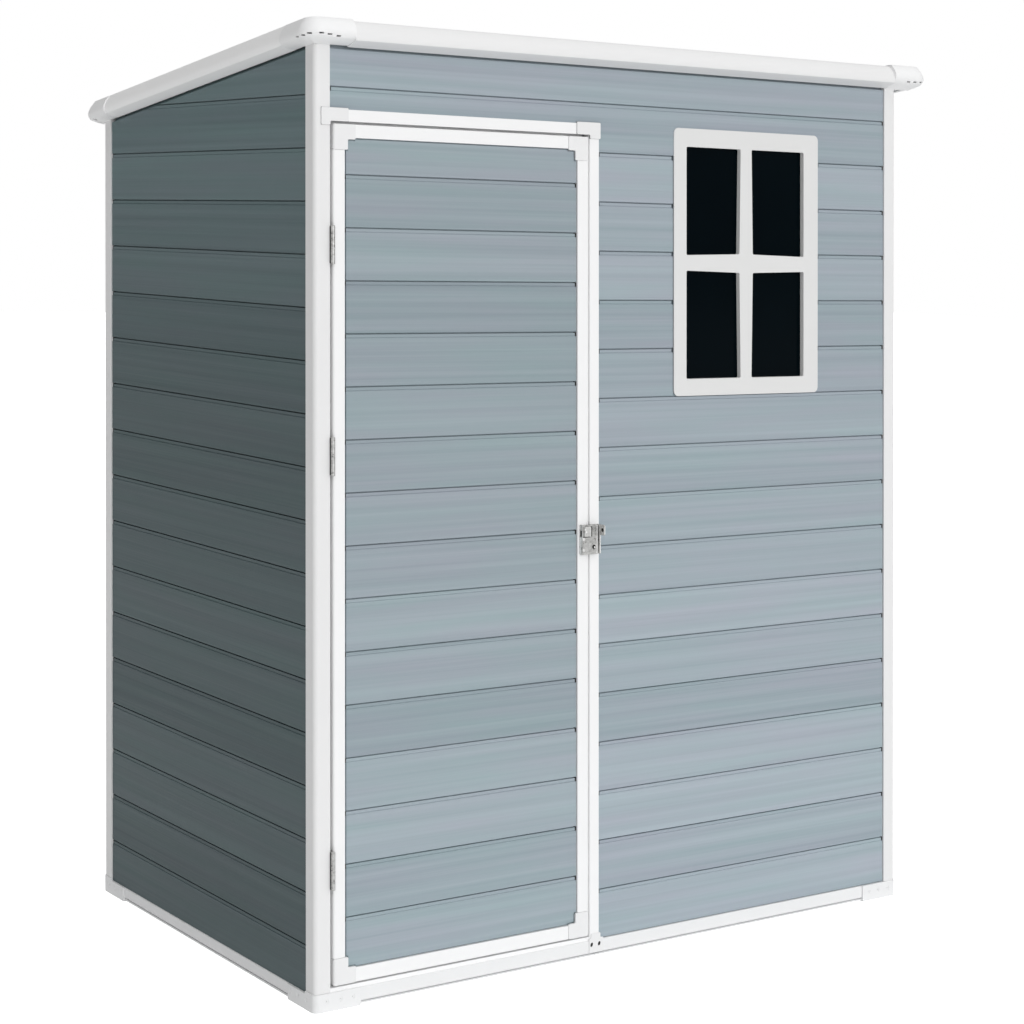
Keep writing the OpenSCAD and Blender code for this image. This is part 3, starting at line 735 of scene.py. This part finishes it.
cap_resin = resin("cap_resin", (0.91, 0.912, 0.915), 0.004, 0.0002)
cap_stretch, cap_top, cap_foot, lip_in = 39 / 36, 0.003, -0.0015, 0.036
slot_half, slot_tall, slot_out, slot_in = 0.005, 0.0015, 0.002, 0.024
turned_slot, bend_in, bend_back = (0.027, 0.01, 0.003), 0.039, 0.0285
slot_steps = {
    "left": ((0.033, -0.003), (0.051, -0.0017), (0.071, 0.0005)),
    "right": ((0.026, 0.0006), (0.046, 0.0014), (0.066, 0.002)),
}
for deep, across in corners:
    node = f"roof_cap_{deep}_{across}"
    cap = copied(node)
    fuller(cap, cap_rises, cap_stretch, cap_top, cap_foot)
    x_edge, x_way, y_edge, y_way = outer_corner(node, deep, across)
    lift_lip(cap, 0.005, 0, x_edge + x_way * lip_in)
    if across == "left":
        lift_lip(cap, 0.004, 1, y_edge + y_way * lip_in)

    # Three slots along the front or back, one at the side, and two turned ones round the corner.
    low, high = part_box(node)
    level = roof_place.z - (0 if deep == "front" else roof_slope * (high.y - roof_place.y))
    x_out, x_in = x_edge - x_way * slot_out, x_edge + x_way * slot_in
    y_out, y_in = y_edge - y_way * slot_out, y_edge + y_way * slot_in
    for step, drop in slot_steps[across]:
        middle, z = x_edge + x_way * step, level - drop
        cut(cap, block((middle - slot_half, y_out, z - slot_tall), (middle + slot_half, y_in, z + slot_tall)))
    middle = y_edge + y_way * 0.043
    cut(cap, block((x_out, middle - slot_half, level - 0.006), (x_in, middle + slot_half, level - 0.003)))
    for turn, drop in ((21, 0.0022), (44, -0.0015)):
        out = Vector((x_way * math.cos(math.radians(turn)), y_way * math.sin(math.radians(turn)), 0))
        bend = Vector((x_edge + x_way * bend_in, y_edge + y_way * bend_in, level - drop))
        bpy.ops.mesh.primitive_cube_add(size=1, location=bend - bend_back * out)
        bpy.context.object.scale = turned_slot
        bpy.context.object.rotation_euler.z = math.atan2(out.y, out.x)
        cut(cap, bpy.context.object)
    finish(cap, cap_resin, "trim", node, angle=50)

# Where the roof reaches past the right wall, a white soffit board closes it from below.
low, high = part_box("roof_panel")
wall_side, soffit_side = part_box("wall_right")[1].x, high.x + 0.002
soffit_top, soffit_foot = roof_place.z - 0.0002, roof_place.z - 0.0125
draw([
    (wall_side, low.y, soffit_top), (wall_side, low.y, soffit_foot),
    (soffit_side, low.y, soffit_foot), (soffit_side, low.y, soffit_top),
])
soffit = pull(roof_fall, "roof_soffit")
finish(soffit, edge_resin, "trim")

# ---- Door leaf ----
# One leaf of the same boards, held between white stiles and rails that L-shaped corner joints lock together.
# Its boards sit on their own bottom rail, so their seams don't line up with the wall's.

low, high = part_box("door_panel")
door_seam, door_thick, door_rows = base_top + 0.0362, 0.016, 16
door_boards, painted_shades = boards(
    "door_boards", (low.x, front_y, door_seam), (high.x - low.x, 0, 0), (0, 1, 0), door_thick, door_rows,
)
for piece in (door_boards, painted_shades):
    trim(piece, (0, 0, low.z), (0, 0, -1))
    trim(piece, (0, 0, high.z), (0, 0, 1))
finish(painted_shades, painted_shade_black, "siding_front", body="door")

# Grooves round the panel leave a dark line beside the rails, the stiles and the joints.
rail_groove, rail_groove_deep, stile_groove_deep = 0.0025, 0.005, 0.004
for z in (low.z, high.z - rail_groove):
    groove_end = (high.x + past, front_y + rail_groove_deep, z + rail_groove)
    cut(door_boards, block((low.x - past, front_y - past, z), groove_end))
for x, wide in ((low.x, 0.0042), (high.x, -0.0018)):
    groove_end = (x + wide, front_y + stile_groove_deep, high.z + past)
    cut(door_boards, block((x, front_y - past, low.z - past), groove_end))
for x, x_way in ((low.x, 1), (high.x, -1)):
    for z, z_way in ((low.z, 1), (high.z, -1)):
        for lead, wide, deep, tall in ((0.0012, 0.008, 0.0038, 0.0245), (0.0014, 0.0245, 0.0036, 0.0052)):
            groove_end = (x + x_way * wide, front_y + deep, z + z_way * tall)
            cut(door_boards, block((x, front_y - lead, z), groove_end))
# The door's boards grow darker towards the top: painted light that is brighter low down.
door_resin = board_resin(
    "door_board_resin", (0.384, 0.441, 0.481), (0.269, 0.327, 0.36), 0, door_seam,
    painted_light_factor=0.87, painted_light_heights=(0.2, 1.1),
)
finish(door_boards, door_resin, "siding_front", "door_panel", body="door", angle=20)

leaf_side, leaf_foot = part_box("door_stile_hinge")[0].x + 0.0005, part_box("door_rail_bottom")[0].z + 0.0005
leaf_drop, leaf_round = (0, 0, -0.002), 0.005
for node in ("door_stile_hinge", "door_stile_latch", "door_rail_top", "door_rail_bottom"):
    member = copied(node)
    shifted(member, leaf_drop, lambda point: point.z < leaf_foot)
    if node == "door_stile_hinge":
        round_left_edge(member, leaf_round, leaf_side)
    soften(member, 0.0012, 2)
    finish(member, frame_resin, "trim", node, body="door")
joint_wider = 0.003
joints = copied("door_corner_joints")
for side, x_way in ((low.x + 0.003, 1), (high.x - 0.003, -1)):
    shifted(joints, (x_way * joint_wider, 0, 0), lambda point: abs(point.x - side) < 0.0003)
shifted(joints, leaf_drop, lambda point: point.z < leaf_foot)
round_left_edge(joints, leaf_round, leaf_side)
round_edges(joints, 0.0025, lambda middle, way: abs(way.y) > mostly)
soften(joints, 0.0008, 2)
joint_resin = resin("joint_resin", (0.84, 0.842, 0.845), 0.003, 0.0002)
finish(joints, joint_resin, "trim", "door_corner_joints", body="door")

# ---- Hinges ----
# Three zinc-plated steel hinges between the left post and the door: knuckles round a pin, leaves in the gap.
# Each pin has a low domed head at its top and its foot, and a dark block paints the shade in the gap behind the
# knuckles.


def steel(name, bright, dull, metal=0.85):
    """Zinc-plated steel: bright, mottled by the plating, with fine rolling marks."""
    material, shader = paint(name)
    place = shade(material, "TexCoord")["Object"]
    spangle = shade(material, "TexNoise", {"Vector": place, "Scale": 160, "Detail": 3})[0]
    marks = streaks(material, place, (60, 60, 900), 3)
    wire(material, shader, {
        "Base Color": mixed(material, ranged(material, spangle, 0.35, 0.65), dull, bright),
        "Roughness": ranged(material, spangle, 0.3, 0.7, 0.24, 0.42),
        "Normal": shade(material, "Bump", {"Height": marks, "Strength": 0.25, "Distance": 0.0002})[0],
        "Metallic": metal,
    })
    return material


zinc = steel("zinc_steel", (0.62, 0.62, 0.61), (0.4, 0.4, 0.39), 0.7)
low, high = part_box("hinges_on_post")
knuckle, spacing = 0.073, 0.404
pin_x, pin_y = (low.x + high.x) / 2, low.y + 0.0045
pin_radius, pin_dome = 0.0036, 0.4
hinge_feet = (low.z, high.z - knuckle - spacing, high.z - knuckle)
pin_heads = []
for foot in hinge_feet:
    for z in (foot, foot + knuckle):
        place = (pin_x, pin_y, z)
        bpy.ops.mesh.primitive_uv_sphere_add(segments=16, ring_count=8, radius=pin_radius, location=place)
        pin_head = bpy.context.object
        pin_head.scale.z = pin_dome
        pin_heads.append(pin_head)
post_hinges = joined(copied("hinges_on_post"), *pin_heads)
finish(post_hinges, zinc, "steel", "hinges_on_post", angle=40)
# Dark blocks beside the knuckles: painted shade.
painted_shade_strips = []
for foot in hinge_feet:
    shade_strip_end = (low.x + 0.0034, pin_y + 0.004, foot + knuckle - past)
    painted_shade_strips.append(block((low.x, pin_y - past, foot + past), shade_strip_end))
finish(joined(*painted_shade_strips, name="hinge_painted_shade_strips"), painted_shade_black, "trim")
door_hinges = copied("hinges_on_door")
finish(door_hinges, zinc, "steel", "hinges_on_door", body="door", angle=40)

# ---- Latch ----
# A hasp of folded zinc-plated steel on the door and an eared keeper on the jamb, for a padlock.
# The hasp has a raised block with two rivets, two screws and a round hole; the keeper's ear has one hole.


def fastener(place, radius, rise, drive=False, arm_size=(1.3, 1.1, 0.26)):
    """A round head facing forwards: a domed rivet, or a screw with a cross cut in it."""
    bpy.ops.mesh.primitive_uv_sphere_add(segments=20, ring_count=10, radius=radius, location=place)
    head = bpy.context.object
    head.scale.y = rise / radius
    if drive:
        for turn in (25, 115):
            bpy.ops.mesh.primitive_cube_add(size=1, location=(place[0], place[1] - rise, place[2]))
            arm = bpy.context.object
            arm.scale = (radius * arm_size[0], rise * arm_size[1], radius * arm_size[2])
            arm.rotation_euler = (0, math.radians(turn), 0)
            cut(head, arm)
    return head


def disc(place, radius, depth):
    """A flat disc facing forwards."""
    bpy.ops.mesh.primitive_cylinder_add(vertices=24, radius=radius, depth=depth, location=place)
    bpy.context.object.rotation_euler.x = quarter
    return bpy.context.object


painted_shade_steel = steel("shadowed_steel", (0.035, 0.035, 0.033), (0.02, 0.02, 0.018))
bright_and_highlight_steel = steel("polished_and_highlight_steel", (0.9, 0.9, 0.89), (0.76, 0.76, 0.75), 0.3)
plain_steel = steel("plain_steel", (0.68, 0.68, 0.67), (0.5, 0.5, 0.49), 0.3)

# The hasp's plate, with a notch in its left side, a groove right of and under its raised block, and its hole.
low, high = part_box("latch_hasp")
hasp_longer, hasp_right = 0.0035, high.x
hasp = copied("latch_hasp")
soften(hasp, 0.0005, 2)
shifted(hasp, (-hasp_longer, 0, 0), lambda point: point.x < low.x + 0.0215)
low.x -= hasp_longer
face, notch_deep = low.y + 0.003, 0.002
block_low, block_right = high.z - 0.024, low.x + 0.021
groove_front, groove_back = face - 0.004, face + 0.0014
groove_foot, groove_right = block_low - 0.0018, block_right + 0.0048
for groove in (
    ((low.x - past, face + 0.0012, block_low), (low.x + notch_deep, face + 0.0068, block_low + 0.0125)),
    ((block_right, groove_front, groove_foot), (groove_right, groove_back, high.z - 0.003)),
    ((low.x + notch_deep, groove_front, groove_foot), (groove_right, groove_back, block_low)),
):
    cut(hasp, block(*groove))
hole_x, hole_z = low.x + 0.0303, low.z + 0.015
cut(hasp, disc((hole_x, face, hole_z), 0.0046, 0.002))
finish(hasp, zinc, "steel", "latch_hasp", body="door")

# Dark steel blocks paint the shade in those four; then the bright heads, bright strips and a small dome that
# paint the highlights on the folds and beside the hole, and the block's plain cover.
recess_shade_front, recess_shade_back = face + 0.0003, face + 0.0013
notch_shade_end = (low.x + 0.0018, face + 0.0066, block_low + 0.0123)
groove_shade_end = (block_right + 0.0047, recess_shade_back, high.z - 0.0031)
# Dark blocks in the notch, the grooves and the hole: painted shade.
recess_shades = [
    block((low.x + 0.0004, face + 0.0014, block_low + 0.0002), notch_shade_end),
    block((block_right + hair, recess_shade_front, block_low), groove_shade_end),
    block((low.x + 0.0021, recess_shade_front, block_low - 0.0017), (block_right, recess_shade_back, block_low - hair)),
    disc((hole_x, face + 0.0006, hole_z), 0.0045, 0.0004),
]
finish(joined(*recess_shades, name="latch_recess_shades"), painted_shade_steel, "steel", body="door")
rivets = ((0.0065, 0.0095), (0.0085, 0.0145))
heads = [fastener((low.x + x, low.y, high.z - z), 0.0024, 0.0014) for x, z in rivets]
heads += [fastener((low.x + 0.0042, face, low.z + z), 0.0034, 0.0018, drive=True) for z in (0.009, 0.032)]
# The rivets and screws are bright steel; the strips along the folds and the small dome by the hole are painted
# highlights.
right_fold_highlight_low = (high.x - 0.0027, face - 0.0006, low.z + 0.0015)
heads += [
    block((low.x - 0.0006, face + 0.003, low.z + 0.001), (low.x + 0.0005, face + 0.0066, block_low - 0.003)),
    fastener((hole_x + 0.0022, face + 0.0008, hole_z - 0.001), 0.0022, 0.0014),
    block(right_fold_highlight_low, (high.x - 0.0004, face + 0.0006, high.z - 0.0015)),
]
heads = joined(*heads, name="latch_heads")
modify(heads, "BEVEL", width=0.0002, segments=2)
finish(heads, bright_and_highlight_steel, "steel", body="door")
cover_low = (low.x + 0.0042, low.y - 0.0003, block_low + 0.0002)
cover = block(cover_low, (block_right - 0.0002, low.y + 0.001, high.z - 0.0035))
cover.name = "latch_cover"
finish(cover, plain_steel, "steel", body="door")

# The keeper, whose ear stands forwards with a rounded nose; dark blocks paint the shade in its hole and in the
# gap beside the hasp, and bright strips paint the highlights on its rims.
ear_longer = 0.005
keeper = copied("latch_keeper")
low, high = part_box("latch_keeper")
shifted(keeper, (0, -ear_longer, 0), lambda point: point.y < front_y - 0.013)
low.y -= ear_longer
round_edges(keeper, 0.003, lambda middle, way: abs(way.x) > mostly and middle.y < low.y + 0.001)
soften(keeper, 0.0005, 2)
finish(keeper, plain_steel, "steel", "latch_keeper")
# Dark blocks in the gap beside the hasp and in the ear's hole: painted shade.
hollow_shade_low = (hasp_right + 0.0004, front_y - 0.0054, low.z + 0.022)
ear_hole_low = (high.x - 0.0017, low.y + 0.0028, high.z - 0.0155)
hollow_shades = [
    block(hollow_shade_low, (high.x - 0.0021, front_y - 0.0049, high.z - 0.002)),
    block(ear_hole_low, (high.x - 0.0003, low.y + 0.0112, high.z - 0.0065)),
]
finish(joined(*hollow_shades, name="keeper_recess_shades"), painted_shade_steel, "steel")
# Bright strips on the flange's and the nose's edges: painted highlights.
flange_highlight_low = (high.x - 0.0022, front_y - 0.0136, low.z + 0.0008)
nose_highlight_low = (high.x - 0.0021, low.y - 0.0003, high.z - 0.0195)
highlight_rims = [
    block(flange_highlight_low, (high.x + hair, front_y - 0.0113, high.z - 0.001)),
    block(nose_highlight_low, (high.x + hair, low.y + 0.0008, high.z - 0.0025)),
]
finish(joined(*highlight_rims, name="keeper_highlight_rims"), bright_and_highlight_steel, "steel")

# ---- Studio ----
# A wide pale floor that glows softly round the shed, a white studio that is brightest over its front, and a
# broad low light from the front. A nearly level camera at head height looks at the front left corner.

bpy.ops.mesh.primitive_plane_add(size=60)
ground = bpy.context.object
ground.name = "studio_floor"
ground_paint, shader = paint("studio_floor")
place = shade(ground_paint, "TexCoord")["Object"]
distance = shade(ground_paint, "VectorMath", {0: place}, operation="LENGTH")["Value"]
glow = ranged(ground_paint, distance, 1.2, 4, 0.15, 0.04)
direct = shade(ground_paint, "LightPath")["Is Camera Ray"]
wire(ground_paint, shader, {
    "Base Color": (0.9, 0.9, 0.9, 1),
    "Roughness": 0.9,
    "Emission Color": (1, 1, 1, 1),
    "Emission Strength": maths(ground_paint, "MULTIPLY_ADD", direct, 0.7, glow),
})
ground.data.materials.append(ground_paint)

studio = bpy.data.worlds.new("studio")
bpy.context.scene.world = studio
studio.use_nodes = True
brightest = (0.04, -0.42, 0.906)
way = shade(studio, "TexCoord")["Generated"]
aim = shade(studio, "VectorMath", {0: way, 1: brightest}, operation="DOT_PRODUCT")["Value"]
glow = ranged(studio, aim, 0, 1, 0.15, 1.06)
direct = shade(studio, "LightPath")["Is Camera Ray"]
strength = shade(studio, "Mix", {0: direct, 2: glow, 3: 1})[0]
wire(studio, studio.node_tree.nodes["Background"], {"Strength": strength, "Color": (1, 1, 1, 1)})

bpy.ops.object.light_add(type="SUN", rotation=(math.radians(78), 0, 0))
lamp = bpy.context.object
lamp.data.energy = 0.92
lamp.data.angle = math.radians(40)

# The picture plane leans a little and slopes, which a stretched and turned rig gives the camera. The focal
# length and the horizon's rise over the middle of the picture are in widths of the frame.
eye = Vector((-2.912, -4.195, 1.4996))
heading, dip = math.radians(34.976), math.radians(0.337)
focal, rise, lean = 2.204883, 0.261914, 0.02356
sensor_wide = 36
forward = Vector((math.sin(heading) * math.cos(dip), math.cos(heading) * math.cos(dip), -math.sin(dip)))
right = Vector((math.cos(heading), -math.sin(heading), 0))
up = right.cross(forward)
axes = [(right + lean * up).normalized(), up, (rise / focal * up - forward).normalized()]
turn, stretch, square_up = np.linalg.svd(np.array(axes).T)
if np.linalg.det(turn) < 0:
    turn[:, 2] *= -1
    square_up[2] *= -1
bpy.ops.object.empty_add(location=eye)
rig = bpy.context.object
rig.name = "camera_rig"
rig.rotation_euler = Matrix(turn.tolist()).to_euler()
rig.scale = stretch
bpy.ops.object.camera_add()
camera = bpy.context.object
camera.parent = rig
camera.rotation_euler = Matrix(square_up.tolist()).to_euler()
camera.data.lens = sensor_wide * focal * math.hypot(1, rise / focal)
bpy.context.scene.camera = camera
bpy.context.scene.view_settings.view_transform = "Standard"
